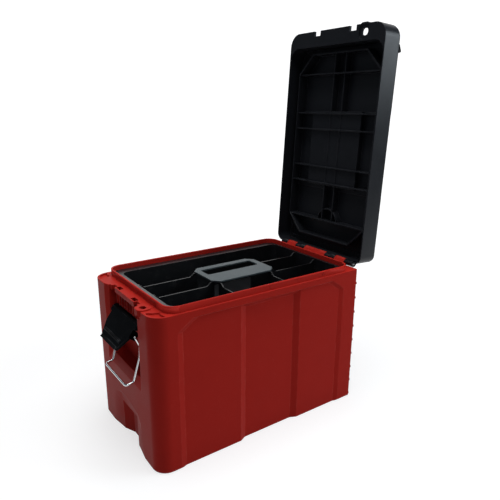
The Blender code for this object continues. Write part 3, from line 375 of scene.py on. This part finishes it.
# Tray
# A thin black moulded bin whose flange rests on the step inside the rim, and its dividers rise to the
# handle plate. Its narrow top edges are painted grey in patches, a painted highlight for the light they
# catch, and the same grey marks its scuffs of wear.
TRAY_EDGE = 0.0001
TRAY_BLACK = (0.0060, 0.0065, 0.0078)
TRAY_BLACK_DEEP = (0.0042, 0.0046, 0.0056)
# Grey on the rounded top edges is painted highlight; on the scuffs it is wear
TRAY_GREY_HIGHLIGHT_AND_WEAR = (0.16, 0.155, 0.150)
tray = moulded("tray", "tray_bin", TRAY_EDGE)
tray.data.materials.append(moulded_plastic(
    "black_tray", TRAY_BLACK, TRAY_BLACK_DEEP, TRAY_GREY_HIGHLIGHT_AND_WEAR,
    roughness=0.34, specular=0.50, grain_scale=1700.0, bump=0.10, rub_and_highlight=0.8, scuff=0.12))
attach(tray, "tray")
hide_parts("tray")

# Tray handle plate
# A flat plate over the middle of the tray with one slot for the fingers, set down on the dividers' raised
# ends. It is black plastic painted slate grey all over, a painted sheen for the light its flat top
# reflects from above.
PLATE_EDGE = 0.0006
# Slate grey: painted sheen on black plastic, for the light its flat top reflects
PLATE_PAINTED_SHEEN = (0.043, 0.058, 0.064)
PLATE_PAINTED_SHEEN_DEEP = (0.035, 0.048, 0.053)
PLATE_RUBBED = (0.22, 0.23, 0.24)
plate = moulded("tray_handle", "tray_grip_plate", PLATE_EDGE)
plate.data.materials.append(moulded_plastic(
    "sheen_painted_plate", PLATE_PAINTED_SHEEN, PLATE_PAINTED_SHEEN_DEEP, PLATE_RUBBED,
    roughness=0.46, specular=0.30, grain_scale=1300.0, bump=0.25, rub_and_highlight=0.6, scuff=0.2))
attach(plate, "tray")
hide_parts("tray_handle")

# Latch lever
# A smooth black moulded lever on a pin across the recess. A raised line and a turned-out tip
# give the thumb its hold, and two cheeks behind it carry the wire.
LEVER_EDGE = 0.0005
LEVER_BLACK = (0.0030, 0.0033, 0.0040)
LEVER_BLACK_DEEP = (0.0022, 0.0024, 0.0030)
lever = moulded("latch_lever", "latch_thumb_lever", LEVER_EDGE)
lever.data.materials.append(moulded_plastic(
    "black_lever", LEVER_BLACK, LEVER_BLACK_DEEP, LID_RUBBED,
    roughness=0.34, specular=0.02, grain_scale=1900.0, bump=0.12, rub_and_highlight=0.8, scuff=0.2))
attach(lever, "lever")
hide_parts("latch_lever")

# Wire bail
# A bright plated spring-wire loop. Its two ends turn in the lever's cheeks, the legs draw in
# towards the bar, and the bar hooks over the lid's catch when the box is shut.
BAIL_PIVOT_Y = -0.201774
BAIL_PIVOT_Z = 0.205999
BAIL_END_X = 0.0425
BAIL_LEG_X = 0.0484
BAIL_DRAW_IN = 0.0045
BAIL_BOW = 0.0065
BAIL_REACH = 0.0192
BAIL_DROP = 0.079
BAIL_RADIUS = 0.0019
BAIL_BEND = 0.005
BAIL_BRIGHT = (0.80, 0.80, 0.81)
BAIL_DARK = (0.66, 0.66, 0.67)
# Shares of the drop, the draw-in and the reach at the bow in each leg and the knee over the bar
BOW_STARTS = 0.19
BOW_ENDS = 0.43
BOW_DRAWN = 0.3
KNEE_DROPPED = 0.968
KNEE_DRAWN = 0.9
KNEE_REACHED = 0.29
half = [(BAIL_END_X, 0, 0),
        (BAIL_LEG_X, 0, 0),
        (BAIL_LEG_X, BAIL_BOW, -BAIL_DROP * BOW_STARTS),
        (BAIL_LEG_X - BAIL_DRAW_IN * BOW_DRAWN, BAIL_BOW, -BAIL_DROP * BOW_ENDS),
        (BAIL_LEG_X - BAIL_DRAW_IN * KNEE_DRAWN, -BAIL_REACH * KNEE_REACHED, -BAIL_DROP * KNEE_DROPPED),
        (BAIL_LEG_X - BAIL_DRAW_IN, -BAIL_REACH, -BAIL_DROP)]
route = half + [(-x, y, z) for x, y, z in reversed(half)]
bent = bpy.data.curves.new("bail_route", "CURVE")
bent.dimensions = "3D"
spline = bent.splines.new("POLY")
spline.points.add(len(route) - 1)
for point, (x, y, z) in zip(spline.points, route):
    point.co = (x, BAIL_PIVOT_Y + y, BAIL_PIVOT_Z + z, 1)
bail_route = bpy.data.objects.new("bail_route", bent)
bpy.context.scene.collection.objects.link(bail_route)

plated_wire = bare_metal("plated_wire", BAIL_BRIGHT, BAIL_DARK, grain_scale=2200.0,
                         cloud_scale=140.0, dulled_by="Cloud", dulling=0.12, roughness=0.08)
wire = bpy.data.node_groups.new("Bent wire", "GeometryNodeTree")
wire.interface.new_socket("Route", in_out="INPUT", socket_type="NodeSocketGeometry")
for label in ("Wire Radius", "Bend Radius"):
    wire.interface.new_socket(label, in_out="INPUT", socket_type="NodeSocketFloat")
wire.interface.new_socket("Wire", in_out="OUTPUT", socket_type="NodeSocketGeometry")
ends = wire.nodes.new("NodeGroupInput")
out = wire.nodes.new("NodeGroupOutput")
bends = wire.nodes.new("GeometryNodeFilletCurve")
bends.mode = "POLY"
bends.inputs["Count"].default_value = 8
bends.inputs["Limit Radius"].default_value = True
ring = wire.nodes.new("GeometryNodeCurvePrimitiveCircle")
ring.inputs["Resolution"].default_value = 20
sweep = wire.nodes.new("GeometryNodeCurveToMesh")
sweep.inputs["Fill Caps"].default_value = True
soft = wire.nodes.new("GeometryNodeSetShadeSmooth")
real = wire.nodes.new("GeometryNodeRealizeInstances")
coat = wire.nodes.new("GeometryNodeSetMaterial")
coat.inputs["Material"].default_value = plated_wire
wire.links.new(ends.outputs["Route"], bends.inputs["Curve"])
wire.links.new(ends.outputs["Bend Radius"], bends.inputs["Radius"])
wire.links.new(ends.outputs["Wire Radius"], ring.inputs["Radius"])
wire.links.new(bends.outputs["Curve"], sweep.inputs["Curve"])
wire.links.new(ring.outputs["Curve"], sweep.inputs["Profile Curve"])
wire.links.new(sweep.outputs["Mesh"], soft.inputs["Geometry"])
wire.links.new(soft.outputs["Geometry"], real.inputs["Geometry"])
wire.links.new(real.outputs["Geometry"], coat.inputs["Geometry"])
wire.links.new(coat.outputs["Geometry"], out.inputs["Wire"])
bender = bail_route.modifiers.new("Bent wire", "NODES")
bender.node_group = wire
for item in wire.interface.items_tree:
    if item.name == "Wire Radius":
        bender[item.identifier] = BAIL_RADIUS
    elif item.name == "Bend Radius":
        bender[item.identifier] = BAIL_BEND
graph = bpy.context.evaluated_depsgraph_get()
bail_mesh = bpy.data.meshes.new_from_object(bail_route.evaluated_get(graph))
bail_route.modifiers.clear()
bpy.data.objects.remove(bail_route, do_unlink=True)
bail = bpy.data.objects.new("latch_wire", bail_mesh)
bpy.context.scene.collection.objects.link(bail)
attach(bail, "bail")
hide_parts("latch_bail")

# Studio
# A pale floor that sweeps up into a backdrop behind the box, a softbox overhead, one behind to
# the right and a weak one to the left. The camera has the photograph's view.
VIEW_AZIMUTH = math.radians(54.75)
VIEW_HEIGHT = math.radians(15.98)
VIEW_ROLL = math.radians(0.215)
VIEW_PLACE = (0.7302, -0.4686, 0.5505)
VIEW_SENSOR = 36
VIEW_LENS = 36.468
back = Vector((math.sin(VIEW_AZIMUTH) * math.cos(VIEW_HEIGHT),
               -math.cos(VIEW_AZIMUTH) * math.cos(VIEW_HEIGHT),
               math.sin(VIEW_HEIGHT)))
right = Vector((math.cos(VIEW_AZIMUTH), math.sin(VIEW_AZIMUTH), 0))
up = back.cross(right)
across = right * math.cos(VIEW_ROLL) + up * math.sin(VIEW_ROLL)
upright = up * math.cos(VIEW_ROLL) - right * math.sin(VIEW_ROLL)
lens = bpy.data.cameras.new("camera")
lens.sensor_width = VIEW_SENSOR
lens.lens = VIEW_LENS
camera = bpy.data.objects.new("camera", lens)
turned = Matrix((across, upright, back)).transposed().to_4x4()
camera.matrix_world = Matrix.Translation(VIEW_PLACE) @ turned
bpy.context.scene.collection.objects.link(camera)
bpy.context.scene.camera = camera

FLOOR_FRONT = -1.6
FLOOR_REACH = 2.2
FLOOR_HALF_WIDTH = 3.2
FLOOR_DROP = 0.0005
FLOOR_GREY = (0.42, 0.42, 0.42, 1)
# In reflections the floor fades out in front of the latch end and of the near side
FLOOR_FADES = (("Y", -1.0, -0.32), ("X", 1.05, 0.55))
FADED_FLOOR = 0.12
SWEEP_RADIUS = 0.8
SWEEP_HEIGHT = 3.4
SWEEP_STEPS = 12
aim = -Vector((back.x, back.y, 0)).normalized()
side = Vector((-aim.y, aim.x, 0))
profile = [(FLOOR_FRONT, 0.0), (FLOOR_REACH, 0.0)]
for i in range(1, SWEEP_STEPS + 1):
    bend = math.radians(90 * i / SWEEP_STEPS)
    profile.append((FLOOR_REACH + SWEEP_RADIUS * math.sin(bend), SWEEP_RADIUS * (1 - math.cos(bend))))
profile.append((FLOOR_REACH + SWEEP_RADIUS, SWEEP_HEIGHT))
bm = bmesh.new()
rows = []
for along, height in profile:
    middle = aim * along + Vector((0, 0, height - FLOOR_DROP))
    rows.append([bm.verts.new(middle + side * out_by) for out_by in (-FLOOR_HALF_WIDTH, FLOOR_HALF_WIDTH)])
for low, high in zip(rows, rows[1:]):
    bm.faces.new((low[0], low[1], high[1], high[0]))
bmesh.ops.recalc_face_normals(bm, faces=bm.faces)
sheet = bpy.data.meshes.new("backdrop")
bm.to_mesh(sheet)
bm.free()
for polygon in sheet.polygons:
    polygon.use_smooth = True
backdrop = bpy.data.objects.new("backdrop", sheet)
bpy.context.scene.collection.objects.link(backdrop)


def white_share(tree, path, mirrored):
    """One where the camera sees the white, straight or through glass, and mirrored in reflections."""
    seen = math_node(tree, "MAXIMUM", path.outputs["Is Camera Ray"], path.outputs["Is Transmission Ray"])
    return math_node(tree, "MAXIMUM", seen, mirrored)


paper = bpy.data.materials.new("white_paper")
paper.use_nodes = True
tree = paper.node_tree
tree.nodes.clear()
matte = tree.nodes.new("ShaderNodeBsdfDiffuse")
matte.inputs["Color"].default_value = FLOOR_GREY
glow = tree.nodes.new("ShaderNodeEmission")
path = tree.nodes.new("ShaderNodeLightPath")
place = tree.nodes.new("ShaderNodeTexCoord")
reach = tree.nodes.new("ShaderNodeVectorMath")
reach.operation = "LENGTH"
tree.links.new(place.outputs["Object"], reach.inputs[0])
whiter = tree.nodes.new("ShaderNodeMapRange")
whiter.inputs["From Min"].default_value = 0.5
whiter.inputs["From Max"].default_value = 1.8
whiter.inputs["To Min"].default_value = 0.66
whiter.inputs["To Max"].default_value = 1.0
tree.links.new(reach.outputs["Value"], whiter.inputs["Value"])
spot = tree.nodes.new("ShaderNodeSeparateXYZ")
tree.links.new(place.outputs["Object"], spot.inputs[0])
mirrored = path.outputs["Is Glossy Ray"]
for axis, faded, bright in FLOOR_FADES:
    fade = tree.nodes.new("ShaderNodeMapRange")
    fade.interpolation_type = "SMOOTHSTEP"
    fade.inputs["From Min"].default_value = faded
    fade.inputs["From Max"].default_value = bright
    fade.inputs["To Min"].default_value = FADED_FLOOR
    fade.inputs["To Max"].default_value = 1.0
    tree.links.new(spot.outputs[axis], fade.inputs["Value"])
    mirrored = math_node(tree, "MULTIPLY", mirrored, fade.outputs["Result"])
shown = math_node(tree, "MULTIPLY", white_share(tree, path, mirrored), whiter.outputs["Result"])
tree.links.new(shown, glow.inputs["Strength"])
both = tree.nodes.new("ShaderNodeAddShader")
tree.links.new(matte.outputs["BSDF"], both.inputs[0])
tree.links.new(glow.outputs["Emission"], both.inputs[1])
finish = tree.nodes.new("ShaderNodeOutputMaterial")
tree.links.new(both.outputs["Shader"], finish.inputs["Surface"])
sheet.materials.append(paper)

LAMP_WHITE = (1.0, 1.0, 1.0)
LAMP_COOL = (0.84, 0.93, 1.0)
for name, stand, target, width, height, power, tint in (
        ("overhead", (0.1, 0.05, 2.1), (0, 0, 0.2), 1.6, 1.6, 37.0, LAMP_WHITE),
        ("right_back", (1.25, 1.60, 1.08), (0.0, 0.15, 0.45), 0.9, 0.75, 17.5, LAMP_COOL),
        ("left_front", (-1.3, -1.75, 1.2), (0.0, 0.2, 0.5), 1.3, 0.9, 1.6, LAMP_COOL)):
    lamp = bpy.data.lights.new(name, "AREA")
    lamp.shape = "RECTANGLE"
    lamp.size = width
    lamp.size_y = height
    lamp.energy = power
    lamp.color = tint
    softbox = bpy.data.objects.new(name, lamp)
    softbox.location = stand
    softbox.rotation_euler = (Vector(stand) - Vector(target)).to_track_quat("Z", "Y").to_euler()
    bpy.context.scene.collection.objects.link(softbox)

AMBIENT_COOL = (0.78, 0.88, 1.0, 1)
AMBIENT_LEVEL = 0.16
BACKDROP_WHITE = (1, 1, 1, 1)
# Reflections find white only in a cone round the way the camera looks, by its cosine
BACKDROP_CONE = 0.8
sky = bpy.data.worlds.new("studio")
sky.use_nodes = True
tree = sky.node_tree
ambient = tree.nodes["Background"]
ambient.inputs["Color"].default_value = AMBIENT_COOL
ambient.inputs["Strength"].default_value = AMBIENT_LEVEL
white = tree.nodes.new("ShaderNodeBackground")
white.inputs["Color"].default_value = BACKDROP_WHITE
path = tree.nodes.new("ShaderNodeLightPath")
way = tree.nodes.new("ShaderNodeTexCoord")
behind = tree.nodes.new("ShaderNodeVectorMath")
behind.operation = "DOT_PRODUCT"
behind.inputs[1].default_value = aim
tree.links.new(way.outputs["Generated"], behind.inputs[0])
in_cone = math_node(tree, "GREATER_THAN", behind.outputs["Value"], BACKDROP_CONE)
mirrored = math_node(tree, "MULTIPLY", path.outputs["Is Glossy Ray"], in_cone)
either = tree.nodes.new("ShaderNodeMixShader")
tree.links.new(white_share(tree, path, mirrored), either.inputs["Fac"])
tree.links.new(ambient.outputs["Background"], either.inputs[1])
tree.links.new(white.outputs["Background"], either.inputs[2])
tree.links.new(either.outputs["Shader"], tree.nodes["World Output"].inputs["Surface"])
bpy.context.scene.world = sky
bpy.context.scene.view_settings.view_transform = "Standard"
